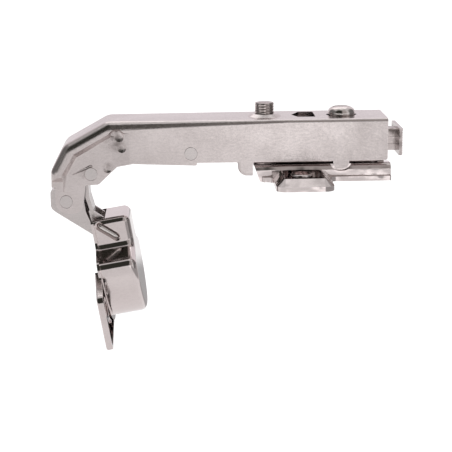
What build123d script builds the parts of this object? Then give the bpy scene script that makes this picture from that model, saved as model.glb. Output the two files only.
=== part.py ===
from build123d import *
from math import cos, radians, sin
import os

# Soft-closing concealed furniture hinge with a long bent arm, shown open.
# X runs along the arm towards its tail, Z stands on the cabinet panel, and
# Y = 0 is the plane of symmetry. The origin is the middle of the two fixing
# screws on the panel face. Millimetres.

# Fits and gaps
RUN = 0.06            # radial clearance of a link on its pivot
SEAT = 0.02           # radial clearance of a pin in the piece that holds it
SIDE_GAP = 0.3        # gap between pieces that slide past each other

# Pivots of the four bar linkage with the door open, as (x, z)
PIVOT_A = (-65.2, 2.9)       # inner link on the arm
PIVOT_B = (-73.2, -5.8)      # outer link on the arm
PIVOT_R = 1.5
RIVET_HEAD_R = 2.0
RIVET_RISE = 0.12            # the heads stand this proud of the cheek
RIVET_SEAT = 0.3             # and are pressed this far into it
RIVET_RING = 0.12            # thin groove round each head

# Cup, measured in its own frame: down the door and into the door
DOOR_TILT = 9.5              # lean of the open door from the vertical
CUP_TOP = (-64.9, -12.0)     # top edge of the cup on the door face, as (x, z)
POT_R = 17.5
POT_CENTRE = 15.7            # from the top edge down to the pot centre
POT_DEPTH = 11.3
CUP_WALL = 0.8
NOSE_HALF = 8.6              # half width of the narrow top of the cup
NOSE_LENGTH = 9.2
SHOULDER_LENGTH = 3.3
POT_CORNER_R = 2.3           # bends of the plan at the knee and the shoulder
NOSE_CORNER_R = 1.8
POT_EDGE_R = 2.2             # rounding of the back of the pot
MOUTH_DEPTH = 3.6            # notch of the end wall that lets the links in
MOUTH_HALF = 7.1
FLANGE_T = 0.8
RIM_WIDTH = 1.6              # flange beyond the pot
WING_HEIGHT = 2.0            # the wings are raised above the door
WING_SHEET = 0.8
WING_HALF = 28.0
WING_ROOT = (14.2, 16.0)     # where the upper edge of a wing leaves the rim, as (down, across)
WING_TOP = 20.2              # outer edge of the wing, from
WING_BOTTOM = 36.9           # to
WING_FOOT = (34.3, 8.0)      # where its lower edge reaches the rim
WING_EDGE_R = 0.5
WING_ROOM = 0.9              # rim left round the hollow underside
CUP_SCREW_SPACING = 45.0
CUP_SCREW_OFFSET = 9.5       # screw line beyond the pot centre
CUP_SCREW_R = 2.7
PIN_C1 = (1.9, 1.4)          # inner link on the cup, as (down, in)
PIN_C2 = (6.4, 6.4)          # outer link on the cup
WIRE_R = 0.8
WIRE_ROOM = 0.5              # gap round the wire in its oval recess
RECESS_SHEET = 0.55

# Arm, a folded sheet channel
ARM_T = 1.2
ARM_HALF = 9.5
ARM_TOP = 19.5
ARM_BOTTOM = 6.3
ARM_REAR = 27.7
FOLD_FRONT = 2.8             # outer radius of the long folds at the bent end
FOLD_FRONT_X = -57.0
FOLD_REAR = 1.0              # and on the straight stretch
FOLD_REAR_X = -4.0
JOGGLE = 1.8                 # the front cheeks are pressed in by this much
JOGGLE_X = -53.0             # from here
JOGGLE_RUN = 5.5             # over this length
BAND_DEPTH = 3.5             # width of the band left along the top outline
BEND_1 = (-59.9, 19.5)
BEND_2 = (-73.4, 12.1)
BEND_3 = (-77.7, 4.0)
BAND_END_Z = -1.2
LOBE_LEFT = -76.55
LOBE_BOTTOM = -9.6
DENTS = ((-56.9, 14.6), (-56.2, 11.2), (-60.0, 4.45))    # coined marks of the press, as (x, z)
DENT_R = 3.0
DENT_DEPTH = 0.28
CREASE = ((-71.0, 2.8), (-65.2, 5.35))                   # fold mark beside pivot A
CREASE_R = 0.55
PRESS_SLOPE = 40             # slant of the pressed step, in degrees
PRESS_R = 0.8                # rounding along its foot
TAB_X = 13.1
TAB_WIDTH = 5.0
TAB_BOTTOM = 3.8
TAB_CORNER_R = 2.0
NOTCH_WIDTH = 6.8            # notch of the plate that the tab drops into
NOTCH_BOTTOM = 3.1
NOTCH_CORNER_R = 2.8
WINDOW_X = (-1.8, 0.8, 5.5)  # pointed opening in the top: tip, shoulder and end
WINDOW_Y = (-4.0, 6.2)

# Links. Closing the door by DOOR_SWING turns the two links by these angles.
DOOR_SWING = 99.5
INNER_SWING = 60.17
OUTER_SWING = 27.2
LINK_T = 1.2
BACK_R = 5.0                 # back of the outer link about pivot B
EYE_R = 2.5                  # right side of its eye on the cup
PIN_GAP = 0.12               # clearance round the pin that is left open
TAIL_LENGTH = 6.85           # damper pin above pivot A on the inner link
TAIL_PIN_R = 1.0

# Damper
DAMPER_X = -33.9
DAMPER_Z = 9.25
DAMPER_R = 2.55
DAMPER_WALL = 0.45
DAMPER_FRONT = -53.0
ROD_R = 1.0

# Mounting plate
PLATE_T = 1.5
PLATE_FRONT = -14.2
PLATE_SLOPE = 1.8            # its front end leans back by this much
PLATE_REAR = 28.8
PLATE_HALF = 9.4
PLATE_TOP = 5.2
PLATE_FOLD = 1.9             # outer radius of its folded long edges
FOOT_HALF = 10.6
FOOT_T = 1.5
SCREW_SPACING = 32.0
PLATE_SCREW_R = 2.65
WING_REACH = 26.0
WING_FRONT = -8.4
WING_REAR = 9.4
WING_RIM_Z = 3.6
WING_RIM = 2.9
WING_SLOPE = 50              # slant of the rim's outer side, in degrees
WING_CORNER_R = 3.0
WING_ROOT_R = 2.0            # where it grows out of the foot
WING_FLOOR = 1.2
BOSS_R = 3.5
BOSS_TOP = 3.9

# Adapter channel in the arm
ADAPTER_T = 1.2
ADAPTER_FRONT = -19.2
ADAPTER_REAR = 25.4
ADAPTER_TOP = 16.4
ADAPTER_TAB = 4.7
ADAPTER_TAB_Z = 1.6
ADAPTER_TAB_R = 3.0
HOOK_PIN = (-11.0, 8.4)
HOOK_PIN_R = 1.5

# Screws
OVERLAY_X = -10.4
OVERLAY_R = 3.0
OVERLAY_TOP = 23.7
OVERLAY_NECK_R = 1.8
OVERLAY_FOOT_H = 1.4
COLLAR_R = 5.5
COLLAR_RISE = 0.8
FIX_X = 14.1
FIX_SLOT = 9.7
FIX_HEAD_R = 4.3
FIX_HEAD_H = 2.7
FIX_R = 2.0

# Release lever
LEVER_PIN = (19.6, 12.0)
LEVER_PIN_R = 1.2
LEVER_HALF = 3.5
LEVER_T = 1.0
LEVER_Z = (8.4, 15.2)
HOOK_X = (23.4, 25.4, 27.4)  # tip, throat and back of the catch under the plate
HOOK_Z = (1.7, 3.0)
TAIL_X = 31.5
TAIL_T = 1.1
TAIL_HALF = 8.0
TAIL_Z = (7.4, 16.0)
TAIL_CORNER = 0.5
TEETH_PITCH = 0.8
STEM_STEPS = (10.3, 12.6)    # heights of the two steps in the sides of the stem
STEM_STEP = 0.4
STEM_FOLD = 1.9              # outer radius of the folded top edges

# Springs: wire radius, coil radius, turns, angle of the first leg, lengths of the legs
LATCH_SPRING = (0.3, 1.9, 5.125, 225, (3.6, 6.3))
DOOR_SPRING = (0.5, 2.35, 4.847, 225, (9.4, 6.0))

# Frame of the cup: x down the door, y across, z into the door
lean = radians(DOOR_TILT)
door_frame = Plane(
    origin=(CUP_TOP[0], 0, CUP_TOP[1]),
    x_dir=(sin(lean), 0, -cos(lean)),
    z_dir=(cos(lean), 0, sin(lean)),
)


def on_door(down, into):
    """Place of a point of the cup, as (x, z) of the whole part."""
    spot = door_frame.from_local_coords(Vector(down, 0, into))
    return (spot.X, spot.Z)


C1 = on_door(*PIN_C1)
C2 = on_door(*PIN_C2)
TAIL_PIN = (
    PIVOT_A[0] + TAIL_LENGTH * sin(radians(INNER_SWING / 2)),
    PIVOT_A[1] + TAIL_LENGTH * cos(radians(INNER_SWING / 2)),
)

# Widths across the linkage, from the arm inwards
cheek_outer = ARM_HALF - JOGGLE
cheek_inner = cheek_outer - ARM_T
outer_link_half = cheek_inner - SIDE_GAP
outer_link_inner = outer_link_half - LINK_T
inner_link_half = outer_link_inner - SIDE_GAP
inner_link_inner = inner_link_half - LINK_T
arm_inner = ARM_HALF - ARM_T


def turned(point, pivot, angle):
    """A point (x, z) turned about a pivot, counter-clockwise as seen from the front."""
    a = radians(angle)
    dx = point[0] - pivot[0]
    dz = point[1] - pivot[1]
    return (pivot[0] + dx * cos(a) - dz * sin(a), pivot[1] + dx * sin(a) + dz * cos(a))


def cup_pins_on_outer_link(share):
    """Where the pins C1 and C2 lie beside the outer link, part way to closed."""
    c1 = turned(C1, PIVOT_A, INNER_SWING * share)
    hinge = turned(C2, C1, -DOOR_SWING * share)
    c2 = (hinge[0] + c1[0] - C1[0], hinge[1] + c1[1] - C1[1])
    return (turned(c1, PIVOT_B, -OUTER_SWING * share), turned(c2, PIVOT_B, -OUTER_SWING * share))


def side_plate(points, radii, y0, y1):
    """Prism of a rounded outline given as (x, z), from y0 to y1."""
    outline = make_face(FilletPolyline(*points, radius=radii, close=True))
    return extrude(Plane.XZ.offset(-y1) * outline, amount=y1 - y0)


def both_sides(shape):
    return shape + mirror(shape, about=Plane.XZ)


def rod_y(x, z, r, y0, y1):
    """Round bar across the part."""
    return Pos(x, (y0 + y1) / 2, z) * Rot(90, 0, 0) * Cylinder(r, y1 - y0)


def rod_x(z, r, x0, x1):
    """Round bar along the arm."""
    return Pos((x0 + x1) / 2, 0, z) * Rot(0, 90, 0) * Cylinder(r, x1 - x0)


def rod_z(x, y, r, z0, z1):
    """Upright round bar."""
    return Pos(x, y, (z0 + z1) / 2) * Cylinder(r, z1 - z0)


def block(x0, x1, y0, y1, z0, z1):
    return Pos((x0 + x1) / 2, (y0 + y1) / 2, (z0 + z1) / 2) * Box(x1 - x0, y1 - y0, z1 - z0)


def across(spot, r, half):
    return rod_y(spot[0], spot[1], r, -half, half)


def rivet(spot, r, half):
    """Rivet through two cheeks, its low heads pressed into them."""
    body = across(spot, r - SEAT, half)
    head = rod_y(spot[0], spot[1], RIVET_HEAD_R, half - RIVET_SEAT, half + RIVET_RISE)
    head = chamfer(head.edges().sort_by(Axis.Y)[-1], RIVET_RISE * 0.6)
    return body + both_sides(head)


def save(shape, name):
    shape.label = name
    export_step(shape, f"parts/{name}.step")


def arm_section(x, fold):
    """Outline of the straight channel, across the arm at x."""
    return Plane.YZ.offset(x) * make_face(FilletPolyline(
        (-ARM_HALF, ARM_BOTTOM), (ARM_HALF, ARM_BOTTOM), (ARM_HALF, ARM_TOP), (-ARM_HALF, ARM_TOP),
        radius=[0, 0, fold, fold], close=True))


def arm_side_outline(inset):
    """Top line of the arm, moved inwards, then far below the part."""
    turn = inset * 0.5
    return [
        (ARM_REAR + 5, ARM_TOP - inset),
        (BEND_1[0] + turn * 0.5, BEND_1[1] - inset),
        (BEND_2[0] + inset * 0.85, BEND_2[1] - inset * 0.75),
        (BEND_3[0] + inset, BEND_3[1] - turn * 0.5),
        (BEND_3[0] + inset, -40),
        (ARM_REAR + 5, -40),
    ]


def arm_front():
    """Bent front end, as wide as the channel, with its folds rounded."""
    front = side_plate(
        [(FOLD_FRONT_X, ARM_TOP), BEND_1, BEND_2, BEND_3, (BEND_3[0] - 0.15, -20), (FOLD_FRONT_X, -20)],
        [0, 5, 5, 4, 0, 0],
        -ARM_HALF,
        ARM_HALF,
    )
    side_edges = front.edges().filter_by(lambda e: abs(abs(e.center().Y) - ARM_HALF) < 0.01)
    front = fillet(side_edges.filter_by(lambda e: on_top_line(e.center())), FOLD_FRONT)
    lobe = side_plate(
        [
            (BEND_3[0] - 5, 40),
            (BEND_3[0] - 5, BAND_END_Z),
            (LOBE_LEFT, BAND_END_Z),
            (LOBE_LEFT, LOBE_BOTTOM),
            (PIVOT_B[0] + 5.0, LOBE_BOTTOM),
            (PIVOT_B[0] + 6.2, -0.6),
            (PIVOT_A[0] + 2.3, -0.5),
            (FOLD_FRONT_X, ARM_BOTTOM - 1.2),
            (FOLD_FRONT_X, 40),
        ],
        [0, 0, 0, 3.9, 3.4, 0.6, 1.6, 0, 0],
        -ARM_HALF,
        ARM_HALF,
    )
    return front & lobe


def on_top_line(spot):
    """Whether a point of the side outline lies on the top line of the arm."""
    slope = (BEND_1[1] - BEND_2[1]) / (BEND_1[0] - BEND_2[0])
    above = spot.Z > BEND_2[1] + slope * (spot.X - BEND_2[0]) - 4.0
    return spot.X < BEND_3[0] + 1.5 or (above and spot.X < FOLD_FRONT_X - 0.1)


def arm_press():
    """What the press takes off one front cheek: a pocket below the top band, with slanting walls."""
    step = make_face(Polyline(
        (JOGGLE_X + 2, BEND_1[1] - BAND_DEPTH),
        (BEND_1[0] + BAND_DEPTH * 0.3, BEND_1[1] - BAND_DEPTH),
        (BEND_2[0] + BAND_DEPTH * 0.85, BEND_2[1] - BAND_DEPTH * 0.75),
        (BEND_3[0] + BAND_DEPTH, BEND_3[1] - BAND_DEPTH * 0.3),
        (BEND_3[0] + BAND_DEPTH * 0.8, BAND_END_Z),
        (BEND_3[0] - 20, BAND_END_Z - 1),
        (BEND_3[0] - 20, -40),
        (JOGGLE_X + 2, -40),
        close=True,
    ))
    pocket = extrude(Plane.XZ.offset(ARM_HALF) * step, amount=-JOGGLE, taper=PRESS_SLOPE)
    foot = pocket.edges().filter_by(lambda e: abs(e.center().Y + cheek_outer) < 0.01 and on_step(e.center()))
    pocket = fillet(foot, PRESS_R)
    ramp = make_face(Polyline(
        (JOGGLE_X, -ARM_HALF),
        (JOGGLE_X - JOGGLE_RUN, -cheek_outer),
        (BEND_3[0] - 30, -cheek_outer),
        (BEND_3[0] - 30, -ARM_HALF - 1),
        (JOGGLE_X, -ARM_HALF - 1),
        close=True,
    ))
    return pocket & (Pos(0, 0, -50) * extrude(ramp, amount=100))


def on_step(spot):
    """Whether a point lies along the top of the pressed step, clear of its far ends."""
    return spot.Z > BAND_END_Z + 0.1 and BEND_3[0] < spot.X < JOGGLE_X


def cheek_face(x):
    """Distance of a front cheek's outer face from the middle, at x."""
    share = min(1.0, max(0.0, (JOGGLE_X - x) / JOGGLE_RUN))
    return ARM_HALF - JOGGLE * share


def press_marks():
    """Dents and the fold mark beside pivot A, on one cheek."""
    marks = Part()
    for x, z in DENTS:
        marks += Pos(x, -cheek_face(x) - DENT_R + DENT_DEPTH, z) * Sphere(DENT_R)
    start, end = CREASE
    run = Vector(end[0] - start[0], 0, end[1] - start[1])
    line = Plane(origin=(start[0], -cheek_outer, start[1]), z_dir=run)
    marks += line * Cone(CREASE_R * 0.2, CREASE_R, run.length, align=(Align.CENTER, Align.CENTER, Align.MIN))
    marks += Pos(end[0], -cheek_outer, end[1]) * Sphere(CREASE_R)
    return marks


def arm_hollow():
    """Room inside the folded sheet."""
    straight = make_face(Polyline(
        (ARM_REAR + 5, -arm_inner),
        (JOGGLE_X + 0.2, -arm_inner),
        (JOGGLE_X + 0.2 - JOGGLE_RUN, -cheek_inner),
        (JOGGLE_X + 0.2 - JOGGLE_RUN, cheek_inner),
        (JOGGLE_X + 0.2, arm_inner),
        (ARM_REAR + 5, arm_inner),
        close=True,
    ))
    roof = ARM_TOP - ARM_T
    hollow = Pos(0, 0, -5) * extrude(straight, amount=roof + 5)
    hollow = fillet(hollow.edges().filter_by(Axis.X).group_by(Axis.Z)[-1], FOLD_REAR * 0.6)
    points = arm_side_outline(ARM_T)
    hollow += side_plate(points, [0, 4, 4, 3, 0, 0], -cheek_inner, cheek_inner)
    hollow += block(-90, BEND_3[0] + 5, -cheek_inner, cheek_inner, -40, BAND_END_Z)
    return hollow


def make_arm():
    taper = loft([arm_section(FOLD_FRONT_X, FOLD_FRONT), arm_section(FOLD_REAR_X, FOLD_REAR)], ruled=True)
    rear = extrude(arm_section(FOLD_REAR_X, FOLD_REAR), amount=ARM_REAR - FOLD_REAR_X)
    rear = fillet(rear.edges().filter_by(Axis.Y).sort_by(Axis.X)[-2:].sort_by(Axis.Z)[0], 0.8)
    web = side_plate(
        [(FOLD_FRONT_X - 0.1, ARM_BOTTOM + 1), (FOLD_FRONT_X - 0.1, ARM_BOTTOM - 1.15),
         (JOGGLE_X + 1.0, ARM_BOTTOM), (JOGGLE_X + 1.0, ARM_BOTTOM + 1)],
        [0, 0, 0, 0], -ARM_HALF, ARM_HALF)
    body = taper + rear + arm_front() + web
    tab = side_plate(
        [
            (TAB_X - TAB_WIDTH / 2, ARM_BOTTOM + 1),
            (TAB_X + TAB_WIDTH / 2, ARM_BOTTOM + 1),
            (TAB_X + TAB_WIDTH / 2, TAB_BOTTOM),
            (TAB_X - TAB_WIDTH / 2, TAB_BOTTOM),
        ],
        [0, 0, TAB_CORNER_R, TAB_CORNER_R],
        arm_inner,
        ARM_HALF,
    )
    body += both_sides(tab)
    body -= both_sides(arm_press())
    body -= arm_hollow()
    body -= both_sides(press_marks())
    # The top band narrows at its end to pass the rim of the cup
    corner = make_face(Polyline((12, 4.5), (cheek_outer, 0.6), (cheek_outer, -5), (12, -5), close=True))
    body -= both_sides(Plane.YZ.offset(-90) * extrude(corner, amount=16))
    # Raised collar for the overlay screw
    collar = Pos(OVERLAY_X, 0, ARM_TOP) * Cone(COLLAR_R, OVERLAY_R + 1.2, COLLAR_RISE,
                                               align=(Align.CENTER, Align.CENTER, Align.MIN))
    body += collar
    body -= rod_z(OVERLAY_X, 0, OVERLAY_R + RUN, ARM_TOP - 3, ARM_TOP + 3)
    # Slot of the fixing screw and the pointed opening in front of it
    slot = Pos(FIX_X, 0, ARM_TOP) * extrude(SlotOverall(FIX_SLOT, 2 * FIX_R + 0.6), 3, both=True)
    tip, shoulder, end = WINDOW_X
    near, far = WINDOW_Y
    window = make_face(FilletPolyline(
        (tip, 0.6), (shoulder, far), (end, far), (end, near), (shoulder - 0.9, near), radius=0.3, close=True))
    body -= slot
    body -= Pos(0, 0, ARM_TOP) * extrude(window, 3, both=True)
    for spot, half in ((PIVOT_A, cheek_outer), (PIVOT_B, cheek_outer), ((DAMPER_X, DAMPER_Z), ARM_HALF)):
        body -= across(spot, PIVOT_R, ARM_HALF + 1)
        seat = rod_y(spot[0], spot[1], RIVET_HEAD_R + RIVET_RING, half - RIVET_SEAT, half + 1)
        body -= both_sides(seat)
    return body


def make_outer_link():
    """Channel from pivot B to the cup, its back on the lower left side."""
    places = [cup_pins_on_outer_link(step / 12) for step in range(13)]
    run = WIRE_R + PIN_GAP
    # The first pin sweeps over the eye of the second, which stays just below it
    eye_top = min(c1[1] for c1, c2 in places) - run
    eye_right = C2[0] + EYE_R
    points = [
        (PIVOT_B[0] - BACK_R, PIVOT_B[1] + 3.3),
        (PIVOT_B[0] - BACK_R, PIVOT_B[1] - 2.4),
        (PIVOT_B[0] - 2.9, PIVOT_B[1] - 4.0),
        (C1[0] + 0.4, C1[1] - 4.9),
        (C2[0] - 1.2, C2[1] - 1.4),
        (eye_right, C2[1] - 1.4),
        (eye_right, eye_top),
        (C2[0] - 1.0, eye_top),
        (C1[0] + 1.0, C1[1] - 1.5),
        (C1[0] - 1.9, C1[1] - 1.2),
        (PIVOT_B[0] + 5.9, PIVOT_B[1] - 3.6),
        (PIVOT_B[0] + 4.6, PIVOT_B[1] + 4.4),
        (PIVOT_B[0] - 2.0, PIVOT_B[1] + 4.4),
    ]
    radii = [1.2, 2.2, 1.5, 1.5, 0.6, 0.5, 1.2, 1.5, 1.0, 1.0, 3.0, 3.6, 1.5]
    whole = side_plate(points, radii, -outer_link_half, outer_link_half)
    # Only the back along the lower left side joins the two cheeks
    room = side_plate(
        [
            (PIVOT_B[0] - BACK_R + LINK_T, 20),
            (PIVOT_B[0] - BACK_R + LINK_T, PIVOT_B[1] - 2.2),
            (PIVOT_B[0] - 2.6 + LINK_T * 0.6, PIVOT_B[1] - 4.0 + LINK_T),
            (C1[0] - 1.4, C1[1] - 3.7 + LINK_T * 0.8),
            (C1[0] - 1.4, -60),
            (10, -60),
            (10, 20),
        ],
        [0, 1.2, 0.8, 0, 0, 0, 0],
        -outer_link_inner,
        outer_link_inner,
    )
    link = whole - room
    link -= across(PIVOT_B, PIVOT_R + RUN, 20)
    # The eye on the cup is open below, where its pin leaves it in mid travel
    left = min(c2[0] for c1, c2 in places) - run
    right = max(c2[0] for c1, c2 in places) + run
    link -= block(left, right, -20, 20, C2[1] - 8, C2[1])
    link -= across(C2, run, 20)
    link -= across(places[-1][1], run, 20)
    return link


def make_inner_link():
    tail_r = 1.9
    head = side_plate(
        [
            (PIVOT_A[0] - 2.9, PIVOT_A[1] + 2.6),
            (PIVOT_A[0] - 2.9, PIVOT_A[1] - 2.2),
            (PIVOT_A[0] - 2.35, PIVOT_A[1] - 6.2),
            (PIVOT_A[0] - 1.0, PIVOT_A[1] - 6.2),
            (PIVOT_A[0] - 1.15, PIVOT_A[1] - 3.0),
            (PIVOT_A[0] + 2.8, PIVOT_A[1] - 2.6),
            (PIVOT_A[0] + 2.8, PIVOT_A[1] + 2.0),
            (TAIL_PIN[0] + tail_r, TAIL_PIN[1] - 1.0),
            (TAIL_PIN[0] + tail_r, TAIL_PIN[1] + tail_r),
            (TAIL_PIN[0] - tail_r, TAIL_PIN[1] + tail_r),
        ],
        [2.6, 2.0, 0.2, 0.2, 0.8, 2.2, 0.8, 0.8, 1.8, 1.8],
        inner_link_inner,
        inner_link_half,
    )
    foot = side_plate(
        [
            (C1[0] - 3.3, C1[1] + 4.2),
            (C1[0] - 2.0, C1[1] + 4.2),
            (C1[0] + 1.9, C1[1] + 1.6),
            (C1[0] + 1.9, C1[1] - 1.9),
            (C1[0] - 1.9, C1[1] - 1.9),
        ],
        [0.2, 0.4, 1.6, 1.8, 1.8],
        inner_link_inner,
        inner_link_half,
    )
    strap = side_plate(
        [
            (PIVOT_A[0] - 2.4, PIVOT_A[1] - 4.0),
            (PIVOT_A[0] - 2.2, PIVOT_A[1] - 8.0),
            (C1[0] - 3.0, C1[1] + 4.6),
            (C1[0] - 2.1, C1[1] + 1.2),
            (C1[0] - 0.9, C1[1] + 1.6),
            (C1[0] - 1.75, C1[1] + 4.4),
            (PIVOT_A[0] - 0.9, PIVOT_A[1] - 8.0),
            (PIVOT_A[0] - 1.1, PIVOT_A[1] - 4.0),
        ],
        [0.3, 3, 3, 0.2, 0.2, 3, 3, 0.3],
        -inner_link_half,
        inner_link_half,
    )
    link = strap + both_sides(head) + both_sides(foot)
    link -= across(PIVOT_A, PIVOT_R + RUN, 20)
    link -= across(C1, WIRE_R + RUN, 20)
    link -= across(TAIL_PIN, TAIL_PIN_R, 20)
    return link


def pot_outline(inset):
    """Plan of the pot, x down the door, y across."""
    r = POT_R - inset
    nose = NOSE_HALF - inset
    knee = NOSE_LENGTH + inset * 0.5
    shoulder = knee + SHOULDER_LENGTH
    reach = (r ** 2 - (POT_CENTRE - shoulder) ** 2) ** 0.5
    sides = Polyline((shoulder, -reach), (knee, -nose), (inset, -nose),
                     (inset, nose), (knee, nose), (shoulder, reach))
    bow = ThreePointArc((shoulder, reach), (POT_CENTRE + r, 0), (shoulder, -reach))
    plan = make_face(sides + bow)
    plan = fillet(plan.vertices().filter_by(lambda v: v.X > inset + 0.1), POT_CORNER_R - inset * 0.5)
    tips = plan.vertices().filter_by(lambda v: v.X < inset + 0.1)
    return fillet(tips, NOSE_CORNER_R - inset * 0.5)


def wing_outline(inset):
    """Plan of one wing of the flange, swept down the door."""
    root, out = WING_ROOT
    foot, back = WING_FOOT
    return make_face(FilletPolyline(
        (root + inset, 6.0),
        (root + inset, out - inset * 0.5),
        (WING_TOP + inset * 0.4, WING_HALF - inset),
        (WING_BOTTOM - inset * 1.3, WING_HALF - inset),
        (foot - inset, back - inset),
        (foot - inset, 6.0),
        radius=[0, 1.5, 2.6, 1.2, 1.0, 0],
        close=True,
    ))


def wire_oval(room):
    """Oval round the bridge of the wire, on the near wall of the cup."""
    down = (PIN_C2[0] - PIN_C1[0]) / 2
    into = (PIN_C2[1] - PIN_C1[1]) / 2
    reach = 2 * (down ** 2 + into ** 2) ** 0.5
    wall = Plane(origin=(PIN_C1[0] + down, -NOSE_HALF, PIN_C1[1] + into),
                 x_dir=(down, 0, into), z_dir=(0, 1, 0))
    return wall * SlotOverall(reach + 2 * WIRE_R + 2 * room, 2 * WIRE_R + 2 * room)


def make_flange():
    """Rim round the pot and the two raised wings with their screw bosses."""
    ring = pot_outline(-RIM_WIDTH) - Pos(-10, 0) * Rectangle(20, 80)
    rim = Pos(0, 0, -FLANGE_T) * extrude(ring, amount=FLANGE_T)
    slab = Pos(0, 0, -WING_HEIGHT) * extrude(wing_outline(0), amount=WING_HEIGHT)
    wing = fillet(slab.edges().group_by(Axis.Z)[0], WING_EDGE_R)
    wing -= Pos(0, 0, WING_SHEET - WING_HEIGHT) * extrude(wing_outline(WING_ROOM), amount=WING_HEIGHT)
    # The wall of the pot carries on up to the raised wing
    throat = Pos(0, 0, -WING_HEIGHT + 0.1) * extrude(pot_outline(0), amount=WING_HEIGHT - 0.1)
    wing += throat & slab
    wing += Pos(POT_CENTRE + CUP_SCREW_OFFSET, CUP_SCREW_SPACING / 2, -WING_HEIGHT) * Cylinder(
        CUP_SCREW_R + 1.3, WING_HEIGHT, align=(Align.CENTER, Align.CENTER, Align.MIN))
    return rim + wing + mirror(wing, about=Plane.XZ)


def make_cup():
    outer = extrude(pot_outline(0), amount=POT_DEPTH)
    back_edges = outer.edges().group_by(Axis.Z)[-1]
    outer = fillet(back_edges, POT_EDGE_R)
    cup = outer + make_flange()
    inner = extrude(pot_outline(CUP_WALL), amount=POT_DEPTH - CUP_WALL)
    inner = fillet(inner.edges().group_by(Axis.Z)[-1], POT_EDGE_R - CUP_WALL)
    inner += Pos(0, 0, -5) * extrude(pot_outline(CUP_WALL), amount=5.1)
    cup -= inner
    # Mouth for the links at the top end
    cup -= block(-3, 3.0, -MOUTH_HALF, MOUTH_HALF, -5, MOUTH_DEPTH)
    for side in (-1, 1):
        y = side * CUP_SCREW_SPACING / 2
        cup -= Pos(POT_CENTRE + CUP_SCREW_OFFSET, y, 0) * Cylinder(CUP_SCREW_R, 20)
        cup -= Pos(POT_CENTRE + CUP_SCREW_OFFSET, y, -WING_HEIGHT) * Cone(
            CUP_SCREW_R, CUP_SCREW_R + 1.2, 1.2, align=(Align.CENTER, Align.CENTER, Align.MIN),
            rotation=(180, 0, 0))
    # Oval recess of the wire on the near wall, as deep as the wire is thick
    depth = 2 * WIRE_R + 0.05
    dished = extrude(wire_oval(WIRE_ROOM + RECESS_SHEET), amount=depth + RECESS_SHEET)
    cup += dished & extrude(pot_outline(0), amount=POT_DEPTH)
    cup -= extrude(wire_oval(WIRE_ROOM), amount=depth)
    for pin in (PIN_C1, PIN_C2):
        cup -= Pos(pin[0], 0, pin[1]) * Rot(90, 0, 0) * Cylinder(WIRE_R, 40)
    return door_frame * cup


def make_cup_pin():
    """One bent wire: two pins joined by a bridge in the recess."""
    r = WIRE_R - SEAT
    bend = WIRE_R + 0.1
    y_out = -NOSE_HALF + WIRE_R
    y_end = NOSE_HALF - SIDE_GAP
    path = FilletPolyline(
        (PIN_C1[0], y_end, PIN_C1[1]),
        (PIN_C1[0], y_out, PIN_C1[1]),
        (PIN_C2[0], y_out, PIN_C2[1]),
        (PIN_C2[0], y_end, PIN_C2[1]),
        radius=bend,
    )
    start = Plane(origin=(PIN_C1[0], y_end, PIN_C1[1]), z_dir=(0, -1, 0))
    return door_frame * sweep(start * Circle(r), path=path)


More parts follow.
